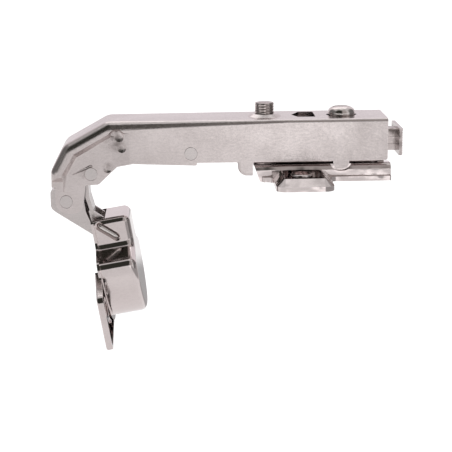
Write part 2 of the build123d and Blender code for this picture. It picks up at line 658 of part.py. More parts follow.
def make_plate():
    body = side_plate(
        [(PLATE_FRONT, PLATE_TOP), (PLATE_FRONT + PLATE_SLOPE, 0), (PLATE_REAR, 0), (PLATE_REAR, PLATE_TOP)],
        [0, 0, 0, 0], -PLATE_HALF, PLATE_HALF)
    body = fillet(body.edges().filter_by(Axis.X).group_by(Axis.Z)[-1], PLATE_FOLD)
    foot = make_face(FilletPolyline(
        (PLATE_REAR, 0),
        (PLATE_REAR, FOOT_HALF),
        (WING_REAR, FOOT_HALF),
        (WING_REAR, WING_REACH),
        (WING_FRONT, WING_REACH),
        (WING_FRONT, FOOT_HALF),
        (PLATE_FRONT + PLATE_SLOPE + 0.6, FOOT_HALF),
        (PLATE_FRONT + PLATE_SLOPE + 0.6, 0),
        radius=[0, 0.4, WING_ROOT_R, WING_CORNER_R, WING_CORNER_R, WING_ROOT_R, 1.0, 0],
        close=True,
    ))
    body += both_sides(extrude(foot, amount=FOOT_T))
    middle = (WING_FRONT + WING_REAR) / 2
    plan = Pos(middle, 0, FOOT_T) * RectangleRounded(WING_REAR - WING_FRONT, 2 * WING_REACH, WING_CORNER_R)
    raised = extrude(plan, amount=WING_RIM_Z - FOOT_T, taper=WING_SLOPE)
    tray = block(WING_FRONT + WING_RIM, WING_REAR - WING_RIM, PLATE_HALF, WING_REACH - WING_RIM, WING_FLOOR, 10)
    tray = fillet(tray.edges().filter_by(Axis.Z), 1.6)
    body += raised
    body -= both_sides(tray)
    body -= block(PLATE_FRONT - 1, PLATE_REAR + 1, -PLATE_HALF + PLATE_T, PLATE_HALF - PLATE_T,
                  -1, PLATE_TOP - PLATE_T)
    for side in (-1, 1):
        y = side * SCREW_SPACING / 2
        boss = rod_z(0, y, BOSS_R, 0, BOSS_TOP)
        body += fillet(boss.edges().sort_by(Axis.Z)[-1], BOSS_R - PLATE_SCREW_R - 0.1)
    for side in (-1, 1):
        y = side * SCREW_SPACING / 2
        body -= rod_z(0, y, PLATE_SCREW_R, -5, 10)
    # Notches that the side tabs of the arm drop into
    wide = NOTCH_WIDTH / 2
    notch = side_plate(
        [(TAB_X - wide, 9), (TAB_X - wide, NOTCH_BOTTOM), (TAB_X + wide, NOTCH_BOTTOM), (TAB_X + wide, 9)],
        [0, NOTCH_CORNER_R, NOTCH_CORNER_R, 0], arm_inner - SIDE_GAP, 20)
    body -= both_sides(notch)
    # Front hooks around the cross pin of the adapter
    hook = side_plate(
        [(PLATE_FRONT, PLATE_TOP - 0.8), (PLATE_FRONT, HOOK_PIN[1] + 2.6), (-7.0, HOOK_PIN[1] + 2.6),
         (-5.0, PLATE_TOP - 0.8)],
        [0, 1.0, 1.5, 0], 4.2, 5.4)
    hook -= across(HOOK_PIN, HOOK_PIN_R + SEAT, 20)
    hook -= block(PLATE_FRONT - 5, HOOK_PIN[0], 0, 20, HOOK_PIN[1] - HOOK_PIN_R - SEAT,
                  HOOK_PIN[1] + HOOK_PIN_R + SEAT)
    body += both_sides(hook)
    # Rear edge cut back for the hook of the release lever
    throat = (HOOK_X[0] + HOOK_X[1]) / 2
    body -= block(throat, PLATE_REAR + 1, -LEVER_HALF - 0.9, LEVER_HALF + 0.9, -1, 10)
    return body


def make_adapter():
    half = arm_inner - SIDE_GAP
    low = PLATE_TOP + SIDE_GAP
    body = side_plate(
        [
            (ADAPTER_FRONT, ADAPTER_TOP),
            (ADAPTER_FRONT, ADAPTER_TAB_Z),
            (ADAPTER_FRONT + ADAPTER_TAB, ADAPTER_TAB_Z),
            (ADAPTER_FRONT + ADAPTER_TAB, low),
            (ADAPTER_REAR, low),
            (ADAPTER_REAR, ADAPTER_TOP),
        ],
        [1.0, ADAPTER_TAB_R, 0, 0, 1.5, 1.0],
        -half,
        half,
    )
    body = fillet(body.edges().filter_by(Axis.X).group_by(Axis.Z)[-1], 0.8)
    inside = half - ADAPTER_T
    body -= block(ADAPTER_FRONT - 1, ADAPTER_REAR + 1, -inside, inside, -5, ADAPTER_TOP - ADAPTER_T)
    # Keyhole for the grooved foot of the overlay screw
    body -= rod_z(OVERLAY_X, 0, OVERLAY_NECK_R + SIDE_GAP, ADAPTER_TOP - 3, ADAPTER_TOP + 1)
    body -= rod_z(FIX_X, 0, FIX_R + RUN, ADAPTER_TOP - 3, ADAPTER_TOP + 1)
    body -= across(HOOK_PIN, HOOK_PIN_R, 20)
    body -= across(LEVER_PIN, LEVER_PIN_R, 20)
    # The roof ends short of the release lever, which swings up through it
    body -= block(LEVER_PIN[0] - 1.5, ADAPTER_REAR + 1, -LEVER_HALF - 0.7, LEVER_HALF + 0.7,
                  ADAPTER_TOP - ADAPTER_T - 1, ADAPTER_TOP + 1)
    return body


def make_overlay_screw():
    top = OVERLAY_TOP
    shoulder = ADAPTER_TOP + SIDE_GAP
    foot = ADAPTER_TOP - ADAPTER_T - SIDE_GAP
    body = rod_z(OVERLAY_X, 0, OVERLAY_R, shoulder, top)
    body = chamfer(body.edges().sort_by(Axis.Z)[-1], 0.4)
    body += rod_z(OVERLAY_X, 0, OVERLAY_NECK_R, foot, shoulder)
    body += rod_z(OVERLAY_X, 0, OVERLAY_R, foot - OVERLAY_FOOT_H, foot)
    for turn in (0, 90):
        body -= Pos(OVERLAY_X, 0, top) * Rot(0, 0, turn) * Box(3.6, 0.8, 2.4)
    return body


def make_fixing_screw():
    under = ARM_TOP
    head = Pos(FIX_X, 0, under) * Cylinder(
        FIX_HEAD_R, FIX_HEAD_H, align=(Align.CENTER, Align.CENTER, Align.MIN))
    head = fillet(head.edges().sort_by(Axis.Z)[-1], 1.6)
    body = head + rod_z(FIX_X, 0, FIX_R, ADAPTER_TOP - ADAPTER_T - 3.0, under)
    for turn in (0, 90):
        body -= Pos(FIX_X, 0, under + FIX_HEAD_H) * Rot(0, 0, turn) * Box(4.4, 0.9, 2.6)
    return body


def make_clamp_plate():
    """Serrated plate between the adapter and the roof of the arm."""
    top = ARM_TOP - ARM_T
    body = block(FIX_X - 6, FIX_X + 6, -5.5, 5.5, ADAPTER_TOP, top)
    body = fillet(body.edges().filter_by(Axis.Z), 1.0)
    body -= rod_z(FIX_X, 0, FIX_R + RUN, 0, 30)
    return body


def make_release_lever():
    stem_low, stem_top = LEVER_Z
    tip, throat, back = HOOK_X
    hook_low, hook_top = HOOK_Z
    inner = LEVER_HALF - LEVER_T - STEM_STEP
    body = side_plate(
        [
            (LEVER_PIN[0] - 2.4, stem_top),
            (LEVER_PIN[0] - 2.4, stem_low),
            (throat, stem_low),
            (throat, hook_top),
            (tip, hook_top),
            (tip, hook_low),
            (back, hook_low),
            (back, stem_low),
            (TAIL_X + 0.2, stem_low),
            (TAIL_X + 0.2, stem_top),
        ],
        [0, 1.6, 0.4, 0.1, 0, 0.3, 1.0, 1.0, 0, 0],
        -LEVER_HALF,
        LEVER_HALF,
    )
    folds = body.edges().filter_by(Axis.X).group_by(Axis.Z)[-1]
    body = fillet(folds, STEM_FOLD)
    web_x = back - LEVER_T
    body -= block(0, web_x, -inner, inner, hook_top + 1.5, stem_top - LEVER_T)
    body -= block(web_x, TAIL_X, -inner, inner, stem_low + LEVER_T, stem_top - LEVER_T)
    for count, height in enumerate(STEM_STEPS):
        wide = LEVER_HALF - STEM_STEP * (count + 1)
        body -= both_sides(block(back, TAIL_X, wide, LEVER_HALF + 1, height, stem_top + 1))
    # Window in the roof round the spring
    body -= block(0, LEVER_PIN[0] + 2.8, -inner, inner, hook_top + 1.5, 20)
    low, high = TAIL_Z
    pad = make_face(Polyline(
        (-TAIL_HALF, high), (TAIL_HALF, high), (TAIL_HALF, low + TAIL_CORNER), (TAIL_HALF - TAIL_CORNER, low),
        (-TAIL_HALF + TAIL_CORNER, low), (-TAIL_HALF, low + TAIL_CORNER), close=True))
    face = Plane(origin=(TAIL_X, 0, 0), x_dir=(0, 1, 0), z_dir=(1, 0, 0))
    pad = face * extrude(pad, amount=TAIL_T)
    groove = Rot(0, 45, 0) * Box(0.4, 40, 0.4)
    for step in range(int((high - low) / TEETH_PITCH)):
        pad -= Pos(TAIL_X + TAIL_T, 0, low + (step + 0.5) * TEETH_PITCH) * groove
    body += pad
    body -= across(LEVER_PIN, LEVER_PIN_R + RUN, 20)
    return body


def torsion_spring(spot, room, size):
    """Torsion spring about a cross pin, with a straight leg at each end, within a half width of room."""
    wire_r, mean_r, turns, start, legs = size
    half = room - wire_r - 0.05
    helix = Helix(2 * half / turns, 2 * half, mean_r)
    tube = sweep((helix ^ 0) * Circle(wire_r), path=helix, is_frenet=True)
    tube = Pos(spot[0], half, spot[1]) * Rot(90, 0, 0) * Rot(0, 0, start) * tube
    finish = start + 360 * turns
    for y, angle, sense, length in ((half, start, -1, legs[0]), (-half, finish, 1, legs[1])):
        a = radians(angle)
        foot = (spot[0] + mean_r * cos(a), y, spot[1] + mean_r * sin(a))
        leg = Plane(origin=foot, z_dir=(-sense * sin(a), 0, sense * cos(a)))
        tube += leg * Cylinder(wire_r, length, align=(Align.CENTER, Align.CENTER, Align.MIN))
        tube += Pos(foot) * Sphere(wire_r * 1.02)
    return tube


def make_damper_cradle():
    t = 0.6
    half = arm_inner - 0.1
    low = 5.2
    rear = -32.0
    fall = (ARM_BOTTOM - 0.3 - low) / (rear - DAMPER_FRONT - 1.0)
    body = side_plate(
        [
            (DAMPER_FRONT + 1.0, ARM_BOTTOM - 0.3),
            (rear, low),
            (rear, DAMPER_Z + 3.2),
            (DAMPER_FRONT + 1.0, DAMPER_Z + 3.2),
        ],
        [0.5, 0.5, 1.5, 1.5],
        -half,
        half,
    )
    body -= side_plate(
        [
            (DAMPER_FRONT + 1.0 - 20, ARM_BOTTOM - 0.3 + t + 20 * fall),
            (rear + 20, low + t - 20 * fall),
            (rear + 9, 40),
            (DAMPER_FRONT - 9, 40),
        ],
        [0, 0, 0, 0],
        -half + t,
        half - t,
    )
    body -= across((DAMPER_X, DAMPER_Z), PIVOT_R, 20)
    return body


def make_damper():
    """Tube, rear eye, front seal cap, piston and rod of the damper."""
    bore = DAMPER_R - DAMPER_WALL
    tube_rear = DAMPER_X - 3.6
    tube = rod_x(DAMPER_Z, DAMPER_R, DAMPER_FRONT, tube_rear)
    tube -= rod_x(DAMPER_Z, bore, DAMPER_FRONT - 1, tube_rear + 1)
    end = rod_x(DAMPER_Z, bore, tube_rear - 2.0, tube_rear)
    end += rod_x(DAMPER_Z, DAMPER_R, tube_rear, tube_rear + 1.0)
    lug = block(tube_rear + 1.0, DAMPER_X, -4, 4, DAMPER_Z - 2.9, DAMPER_Z + 2.9)
    end += lug + across((DAMPER_X, DAMPER_Z), 2.9, 4)
    end -= across((DAMPER_X, DAMPER_Z), PIVOT_R + SEAT, 20)
    cap = rod_x(DAMPER_Z, bore, DAMPER_FRONT, DAMPER_FRONT + 2.2)
    cap += rod_x(DAMPER_Z, DAMPER_R, DAMPER_FRONT - 1.0, DAMPER_FRONT)
    cap -= rod_x(DAMPER_Z, ROD_R + RUN, DAMPER_FRONT - 5, DAMPER_FRONT + 5)
    piston_x = tube_rear - 3.0
    piston = rod_x(DAMPER_Z, bore - RUN, piston_x - 2.4, piston_x)
    piston -= rod_x(DAMPER_Z, ROD_R, piston_x - 10, piston_x + 10)
    head_x = TAIL_PIN[0]
    rod = rod_x(DAMPER_Z, ROD_R, head_x + 1.5, piston_x)
    head = block(head_x - 2.2, head_x + 2.2, -2.2, 2.2, DAMPER_Z - 2.4, DAMPER_Z + 2.4)
    head = fillet(head.edges().filter_by(Axis.Y), 1.0)
    slot = TAIL_PIN_R + 0.15
    head -= across((head_x, DAMPER_Z - 0.5), slot, 20)
    head -= across((head_x, DAMPER_Z + 0.5), slot, 20)
    head -= block(head_x - slot, head_x + slot, -20, 20, DAMPER_Z - 0.5, DAMPER_Z + 0.5)
    rod += head
    return tube, end, cap, piston, rod


os.makedirs("parts", exist_ok=True)

save(make_plate(), "mounting_plate")
save(make_adapter(), "adapter")
save(across(HOOK_PIN, HOOK_PIN_R - SEAT, arm_inner - SIDE_GAP), "hook_pin")
save(make_release_lever(), "release_lever")
save(across(LEVER_PIN, LEVER_PIN_R - SEAT, arm_inner - SIDE_GAP), "lever_pin")
save(torsion_spring(LEVER_PIN, LEVER_HALF - LEVER_T - STEM_STEP, LATCH_SPRING), "lever_spring")
save(make_arm(), "arm")
save(make_overlay_screw(), "overlay_screw")
save(make_fixing_screw(), "fixing_screw")
save(make_clamp_plate(), "clamp_plate")
save(rivet(PIVOT_A, PIVOT_R, cheek_outer), "inner_pivot_rivet")
save(rivet(PIVOT_B, PIVOT_R, cheek_outer), "outer_pivot_rivet")
save(rivet((DAMPER_X, DAMPER_Z), PIVOT_R, ARM_HALF), "damper_rivet")
save(make_damper_cradle(), "damper_cradle")
tube, end_eye, seal_cap, piston, rod = make_damper()
save(tube, "damper_cylinder")
save(end_eye, "damper_end_eye")
save(seal_cap, "damper_seal_cap")
save(piston, "damper_piston")
save(rod, "damper_rod")
save(make_inner_link(), "inner_link")
save(across(TAIL_PIN, TAIL_PIN_R - SEAT, inner_link_half), "damper_link_pin")
save(make_outer_link(), "outer_link")
save(make_cup(), "cup")
save(make_cup_pin(), "cup_pin")
save(torsion_spring(PIVOT_A, inner_link_inner - SIDE_GAP / 2, DOOR_SPRING), "closing_spring")
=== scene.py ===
# %% [markdown]
# A soft-closing cabinet hinge, open, on its mounting plate. The steel parts come
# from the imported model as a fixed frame, with their places in their meshes. Here
# they get their nickel finishes, and the two screws get real threads and cross
# recesses. All lengths are in metres, as in the frame.

# %% Load the frame
import bpy
from math import cos, pi, radians, sin
from mathutils import Matrix, Vector


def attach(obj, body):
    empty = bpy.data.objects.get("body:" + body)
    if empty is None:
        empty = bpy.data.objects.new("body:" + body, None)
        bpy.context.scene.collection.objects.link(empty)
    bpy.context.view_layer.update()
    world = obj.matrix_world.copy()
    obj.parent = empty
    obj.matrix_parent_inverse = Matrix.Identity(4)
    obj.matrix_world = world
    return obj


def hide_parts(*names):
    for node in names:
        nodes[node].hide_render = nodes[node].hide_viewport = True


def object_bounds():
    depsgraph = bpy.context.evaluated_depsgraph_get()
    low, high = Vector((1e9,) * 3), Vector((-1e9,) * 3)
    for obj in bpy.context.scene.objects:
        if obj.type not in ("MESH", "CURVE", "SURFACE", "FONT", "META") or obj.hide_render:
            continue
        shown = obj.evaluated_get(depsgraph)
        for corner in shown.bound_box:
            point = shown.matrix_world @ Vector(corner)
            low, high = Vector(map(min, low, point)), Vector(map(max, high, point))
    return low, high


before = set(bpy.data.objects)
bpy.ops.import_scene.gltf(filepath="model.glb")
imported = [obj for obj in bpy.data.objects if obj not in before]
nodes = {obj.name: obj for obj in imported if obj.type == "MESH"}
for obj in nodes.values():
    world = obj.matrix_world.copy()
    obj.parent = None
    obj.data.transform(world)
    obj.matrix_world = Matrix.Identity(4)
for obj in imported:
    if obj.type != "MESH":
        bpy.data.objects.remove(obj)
cad_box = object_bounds()
MM = 0.001

# %% [markdown]
# The photograph was taken from a little left of the hinge's middle and a little
# above it, with a long lens. A camera is easiest to repeat when it is kept as the
# point it looks at, three angles and a distance, so that is how it is built.

# %% Camera
LOOK_AT = Vector((-22.795, 0.0, -16.331)) * MM
CAMERA_YAW = radians(2.192)
CAMERA_PITCH = radians(13.534)
CAMERA_ROLL = radians(-0.473)
CAMERA_DISTANCE = 438.45 * MM
SENSOR_WIDTH = 36.0
FOCAL_LENGTH = 108.27
CLIP_START = 0.01
CLIP_END = 20.0


def add_camera():
    """The scene's camera, aimed at LOOK_AT by the three angles."""
    level = Vector((cos(CAMERA_YAW), -sin(CAMERA_YAW), 0.0))
    ahead = Vector((sin(CAMERA_YAW) * cos(CAMERA_PITCH), cos(CAMERA_YAW) * cos(CAMERA_PITCH),
                    -sin(CAMERA_PITCH)))
    upright = level.cross(ahead)
    right = level * cos(CAMERA_ROLL) + upright * sin(CAMERA_ROLL)
    up = upright * cos(CAMERA_ROLL) - level * sin(CAMERA_ROLL)
    data = bpy.data.cameras.new("camera")
    data.lens = FOCAL_LENGTH
    data.sensor_width = SENSOR_WIDTH
    data.clip_start = CLIP_START
    data.clip_end = CLIP_END
    camera = bpy.data.objects.new("camera", data)
    bpy.context.scene.collection.objects.link(camera)
    turn = Matrix((right, up, -ahead)).transposed().to_4x4()
    camera.matrix_world = Matrix.Translation(LOOK_AT - ahead * CAMERA_DISTANCE) @ turn
    bpy.context.scene.camera = camera
    return camera


camera = add_camera()
bpy.context.scene.view_settings.view_transform = "Standard"
print("camera at", [round(v, 4) for v in camera.location])

# %% [markdown]
# Shading is put together from small nodes. These helpers add one each and link it:
# a ramp between two values, a sum or product, a mix of two colours, a noise and a
# bump. The others take a place apart, measure a distance and start a material.

# %% Helpers for shader nodes


def feed(tree, value, socket):
    """Puts a number or colour on a socket, or links another socket to it."""
    if isinstance(value, (int, float)):
        socket.default_value = value
    elif isinstance(value, tuple):
        socket.default_value = (*value, 1)
    else:
        tree.links.new(value, socket)


def ramp(tree, value, low, high, smooth=True, ends=(0.0, 1.0)):
    """Goes from one end to the other while the value goes from low to high."""
    node = tree.nodes.new("ShaderNodeMapRange")
    node.interpolation_type = "SMOOTHSTEP" if smooth else "LINEAR"
    names = ("Value", "From Min", "From Max", "To Min", "To Max")
    for name, number in zip(names, (value, low, high, *ends)):
        feed(tree, number, node.inputs[name])
    return node.outputs["Result"]


def calc(tree, kind, *values):
    node = tree.nodes.new("ShaderNodeMath")
    node.operation = kind
    for socket, value in zip(node.inputs, values):
        feed(tree, value, socket)
    return node.outputs["Value"]


def distance(tree, place, middle):
    """Distance in a plane, between two points of two numbers or sockets each."""
    across, along = [calc(tree, "POWER", calc(tree, "SUBTRACT", p, m), 2.0)
                     for p, m in zip(place, middle)]
    return calc(tree, "SQRT", calc(tree, "ADD", across, along))


def grey(level):
    return (level, level, level)


def blend_colours(tree, share, first, second):
    node = tree.nodes.new("ShaderNodeMix")
    node.data_type = "RGBA"
    feed(tree, share, node.inputs["Factor"])
    for name, value in (("A", first), ("B", second)):
        feed(tree, value, [s for s in node.inputs if s.name == name and s.type == "RGBA"][0])
    return [s for s in node.outputs if s.type == "RGBA"][0]


def coordinates(tree, kind="Object"):
    return tree.nodes.new("ShaderNodeTexCoord").outputs[kind]


def take_apart(tree, vector):
    """X, Y and Z of a vector."""
    node = tree.nodes.new("ShaderNodeSeparateXYZ")
    tree.links.new(vector, node.inputs["Vector"])
    return node.outputs


def noise(tree, place, scale, detail, rough):
    node = tree.nodes.new("ShaderNodeTexNoise")
    names = ("Vector", "Scale", "Detail", "Roughness")
    for name, value in zip(names, (place, scale, detail, rough)):
        feed(tree, value, node.inputs[name])
    return node.outputs["Fac"]


def bump(tree, height, strength, depth):
    """Bump of one height map, as a node, so that another can be put under it."""
    node = tree.nodes.new("ShaderNodeBump")
    for name, value in (("Height", height), ("Strength", strength), ("Distance", depth)):
        feed(tree, value, node.inputs[name])
    return node


def new_material(name):
    """A material, its node tree and its shader."""
    material = bpy.data.materials.new(name)
    material.use_nodes = True
    tree = material.node_tree
    return material, tree, tree.nodes["Principled BSDF"]


# %% [markdown]
# A plain pale floor lies well below the hinge, so that its shadow stays faint. It
# is a light table that glows evenly for the camera. The metal sees it in zones, as
# a table in a real room: far in front it is dim on the left and bright on the
# right, close to the hinge it is even, and behind the hinge a little brighter. It
# is dull on the right, where nothing stands that would throw light on it, and on a
# round grey card.

# %% Floor
FLOOR_DROP = 30 * MM
FLOOR_LENGTH = 6.0
FLOOR_WIDTH = 1.6
FLOOR_ROUGH = 0.9
FLOOR_WHITE = 0.93
SEEN_GLOW = 0.70                 # light that comes up through the table, for the camera
FLOOR_GLOW = 0.42                # and for the metal, behind the hinge
NEAR_GLOW = 0.32                 # close in front of it
FRONT_GLOW = (0.28, 0.98)        # and far in front, left and right
FRONT_SIDES = (-0.12, 0.06)      # from the left of the far front to its right
FRONT_EDGE = (-0.20, -0.10)      # from the near part to the part behind
NEAR_EDGE = (-0.52, -0.36)       # from the far front to the near part
DULL_EDGE = (0.115, 0.16)        # from the middle to the dull right part
DULL_WHITE = 0.75
GREY_CARD = (0.02, 0.14)         # middle of a round card that lies on the table
CARD_RADIUS = (0.10, 0.07)       # outside and inside its soft rim


def add_floor():
    """The light table, an oblong plane below the hinge."""
    bpy.ops.object.select_all(action="DESELECT")
    low = cad_box[0]
    bpy.ops.mesh.primitive_plane_add(size=FLOOR_LENGTH, location=(0, 0, low.z - FLOOR_DROP))
    floor = bpy.context.active_object
    floor.name = "floor"
    bpy.ops.object.mode_set(mode="EDIT")
    bpy.ops.transform.resize(value=(FLOOR_WIDTH / FLOOR_LENGTH, 1, 1))
    bpy.ops.object.mode_set(mode="OBJECT")
    paper, tree, shader = new_material("pale table")
    shader.inputs["Roughness"].default_value = FLOOR_ROUGH
    shader.inputs["Specular IOR Level"].default_value = 0.0
    shader.inputs["Emission Color"].default_value = (1, 1, 1, 1)
    x, y, _ = take_apart(tree, coordinates(tree))
    front = ramp(tree, x, *FRONT_SIDES, ends=FRONT_GLOW)
    near = calc(tree, "MULTIPLY", ramp(tree, y, *NEAR_EDGE),
                calc(tree, "SUBTRACT", front, NEAR_GLOW))
    behind = ramp(tree, y, *FRONT_EDGE, ends=(0.0, FLOOR_GLOW - NEAR_GLOW))
    glow = calc(tree, "ADD", calc(tree, "SUBTRACT", front, near), behind)
    card = ramp(tree, distance(tree, (x, y), GREY_CARD), *CARD_RADIUS)
    dull = calc(tree, "MAXIMUM", ramp(tree, x, *DULL_EDGE), card)
    glow = calc(tree, "MULTIPLY", glow, calc(tree, "SUBTRACT", 1.0, dull))
    direct = tree.nodes.new("ShaderNodeLightPath").outputs["Is Camera Ray"]
    even = calc(tree, "MULTIPLY", direct, calc(tree, "SUBTRACT", SEEN_GLOW, glow))
    tree.links.new(calc(tree, "ADD", glow, even), shader.inputs["Emission Strength"])
    unseen = calc(tree, "MULTIPLY", dull, calc(tree, "SUBTRACT", 1.0, direct))
    tree.links.new(blend_colours(tree, unseen, grey(FLOOR_WHITE), grey(DULL_WHITE)),
                   shader.inputs["Base Color"])
    floor.data.materials.append(paper)


add_floor()

# %% [markdown]
# Polished metal has hardly a colour of its own: it shows what stands around it.
# The studio is therefore painted in the world by direction: pale walls, a duller
# ceiling with a round lamp straight above, two unlit gaps low down at the sides,
# and one soft dark patch in front, above eye level and a little to the left, where
# the room behind the camera is unlit. That patch draws the dark line along the
# rounded edge of the arm and the dark bands on the cup, and it fades towards the
# right. The camera itself sees plain white. A softbox above the back adds the
# light that falls on the hinge from there.

# %% Studio light
ROOM_LEVEL = 0.94
BACK_COLOUR = (0.86, 0.81, 0.84)
BACK_EDGE = (0.1, 0.7)           # from the other walls to the back one, by Y
CEILING_LEVEL = 0.66
CEILING_EDGE = (0.55, 0.95)      # from the walls to the ceiling, as sine of the height
LAMP_LEVEL = 1.0
LAMP_EDGE = (0.984, 0.997)       # soft rim of the lamp, as sine of the height
SIDE_LEVEL = 0.18
SIDE_AZIMUTH = radians(98)       # middle of a gap, left and right of the front
SIDE_EDGE = (radians(46), radians(23))    # half its width, outside and inside its rim
SIDE_TOP = (0.86, 0.74)          # its upper end, as sine of the height
DARK_COLOUR = (0.035, 0.036, 0.03)
FADED_COLOUR = (0.44, 0.42, 0.41)         # of the patch's right half
DARK_FADE = (radians(-4), radians(9))
DARK_AZIMUTH = radians(-8)       # middle of the patch, from the front to the left
DARK_EDGE = (radians(75), radians(41.25))  # half its width, outside and inside its rim
DARK_FOOT = (0.02, 0.14)         # its lower and its upper end, as sine of the height
DARK_TOP = (0.985, 0.935)
SOFTBOX_AT = Vector((-0.05, 0.55, 0.75))
SOFTBOX_AIM = Vector((-0.02, 0.0, 0.0))
SOFTBOX_WIDTH = 0.7
SOFTBOX_HEIGHT = 0.5
SOFTBOX_POWER = 0.8


def add_studio():
    """The world: what the metal mirrors in each direction."""
    world = bpy.data.worlds.new("studio")
    world.use_nodes = True
    bpy.context.scene.world = world
    tree = world.node_tree
    tree.nodes.clear()
    x, y, z = take_apart(tree, coordinates(tree, "Generated"))
    # Bearing of the direction, 0 at the front
    bearing = calc(tree, "ARCTAN2", x, calc(tree, "MULTIPLY", y, -1.0))
    walls = blend_colours(tree, ramp(tree, y, *BACK_EDGE), grey(ROOM_LEVEL), BACK_COLOUR)
    aside = calc(tree, "SUBTRACT", calc(tree, "ABSOLUTE", bearing), SIDE_AZIMUTH)
    gap = calc(tree, "MULTIPLY", ramp(tree, calc(tree, "ABSOLUTE", aside), *SIDE_EDGE),
               ramp(tree, z, *SIDE_TOP))
    walls = blend_colours(tree, gap, walls, grey(SIDE_LEVEL))
    room = blend_colours(tree, ramp(tree, z, *CEILING_EDGE), walls, grey(CEILING_LEVEL))
    room = blend_colours(tree, ramp(tree, z, *LAMP_EDGE), room, grey(LAMP_LEVEL))
    off = calc(tree, "ABSOLUTE", calc(tree, "SUBTRACT", bearing, DARK_AZIMUTH))
    patch = calc(tree, "MULTIPLY", ramp(tree, off, *DARK_EDGE), ramp(tree, z, *DARK_FOOT))
    patch = calc(tree, "MULTIPLY", patch, ramp(tree, z, *DARK_TOP))
    dark = blend_colours(tree, ramp(tree, bearing, *DARK_FADE), DARK_COLOUR, FADED_COLOUR)
    mirrored = blend_colours(tree, patch, room, dark)
    direct = tree.nodes.new("ShaderNodeLightPath").outputs["Is Camera Ray"]
    light = tree.nodes.new("ShaderNodeBackground")
    tree.links.new(blend_colours(tree, direct, mirrored, grey(1.0)), light.inputs["Color"])
    out = tree.nodes.new("ShaderNodeOutputWorld")
    tree.links.new(light.outputs["Background"], out.inputs["Surface"])


def add_softbox():
    data = bpy.data.lights.new("softbox above the back", "AREA")
    data.shape = "RECTANGLE"
    data.size = SOFTBOX_WIDTH
    data.size_y = SOFTBOX_HEIGHT
    data.energy = SOFTBOX_POWER
    light = bpy.data.objects.new(data.name, data)
    bpy.context.scene.collection.objects.link(light)
    light.location = SOFTBOX_AT
    light.rotation_mode = "QUATERNION"
    light.rotation_quaternion = (SOFTBOX_AIM - SOFTBOX_AT).to_track_quat("-Z", "Y")


add_studio()
add_softbox()

# %% [markdown]
# Nickel plate on folded sheet is satin: the sheet's fine rolling grain, tiny pits
# and slow changes of sheen show through. Presses leave gentle waves, and handling
# rubs the edges bright. Dark spots are painted too: painted shade around the press
# dimples, with some real smudging between them, and painted shade on the lever's
# stem top. These effects are wanted on many parts, so each is a small group of
# shader nodes with its own sockets, built once.

# %% Shared effects
SHADE_AND_SMUDGE_EDGE = (1.0, 0.15)        # a dark spot's soft rim (painted shade, partly smudging), as a share of its radius
SHADE_AND_SMUDGE_PATCHES = (0.25, 0.65)    # the values of noise between which it breaks up
WEAR_EDGE = (0.995, 0.9)         # cosine between the rounded and the flat normal
WEAR_PATCHES = (0.35, 0.6)
WEAR_SAMPLES = 4


def new_group(name, output, **inputs):
    """An empty group, the sockets of its inputs and the socket of its one output."""
    group = bpy.data.node_groups.new(name, "ShaderNodeTree")
    for label, value in inputs.items():
        socket = group.interface.new_socket(label, in_out="INPUT", socket_type="NodeSocketFloat")
        socket.default_value = value
    group.interface.new_socket(output, in_out="OUTPUT", socket_type="NodeSocketFloat")
    source = group.nodes.new("NodeGroupInput").outputs
    return group, source, group.nodes.new("NodeGroupOutput").inputs[output]


def make_grain_group():
    """Fine grain of rolled sheet, drawn out along X."""
    group, source, result = new_group("rolled grain", "Lines", Scale=1800.0, Length=12.0)
    squeeze = group.nodes.new("ShaderNodeCombineXYZ")
    shrink = (calc(group, "DIVIDE", 1.0, source["Length"]), 1.0, 1.0)
    for socket, value in zip(squeeze.inputs, shrink):
        feed(group, value, socket)
    stretched = group.nodes.new("ShaderNodeVectorMath")
    stretched.operation = "MULTIPLY"
    group.links.new(coordinates(group), stretched.inputs[0])
    group.links.new(squeeze.outputs["Vector"], stretched.inputs[1])
    lines = noise(group, stretched.outputs["Vector"], source["Scale"], detail=3.0, rough=0.6)
    group.links.new(lines, result)
    return group


def make_specks_group():
    """Tiny pits and grains, the same in every direction."""
    group, source, result = new_group("plating specks", "Specks", Scale=5000.0)
    specks = noise(group, coordinates(group), source["Scale"], detail=2.0, rough=0.7)
    group.links.new(specks, result)
    return group


def make_clouds_group():
    """Slow changes of sheen, some millimetres wide."""
    group, source, result = new_group("slow clouds", "Clouds", Scale=90.0, Contrast=0.25)
    broad = noise(group, coordinates(group), source["Scale"], detail=3.0, rough=0.5)
    low = calc(group, "SUBTRACT", 0.5, source["Contrast"])
    high = calc(group, "ADD", 0.5, source["Contrast"])
    group.links.new(ramp(group, broad, low, high, smooth=False), result)
    return group


def make_waves_group():
    """Height of the gentle waves that a press leaves in thin sheet."""
    group, source, result = new_group("press waves", "Height", Scale=170.0)
    height = noise(group, coordinates(group), source["Scale"], detail=1.0, rough=0.4)
    group.links.new(height, result)
    return group


# Dark spots of painted shade, and of real smudging on the press marks, are drawn with this group.
def make_shade_and_smudge_group():
    """Soft dark spot around one place on the side of a part, broken up by noise."""
    group, source, result = new_group("painted shade and smudge", "Mask", X=0.0, Z=0.0, Radius=0.003,
                                      Scale=600.0)
    place = coordinates(group)
    x, _, z = take_apart(group, place)
    reach = distance(group, (x, z), (source["X"], source["Z"]))
    spot = ramp(group, calc(group, "DIVIDE", reach, source["Radius"]), *SHADE_AND_SMUDGE_EDGE)
    patchy = noise(group, place, source["Scale"], detail=3.0, rough=0.6)
    group.links.new(calc(group, "MULTIPLY", spot, ramp(group, patchy, *SHADE_AND_SMUDGE_PATCHES)), result)
    return group


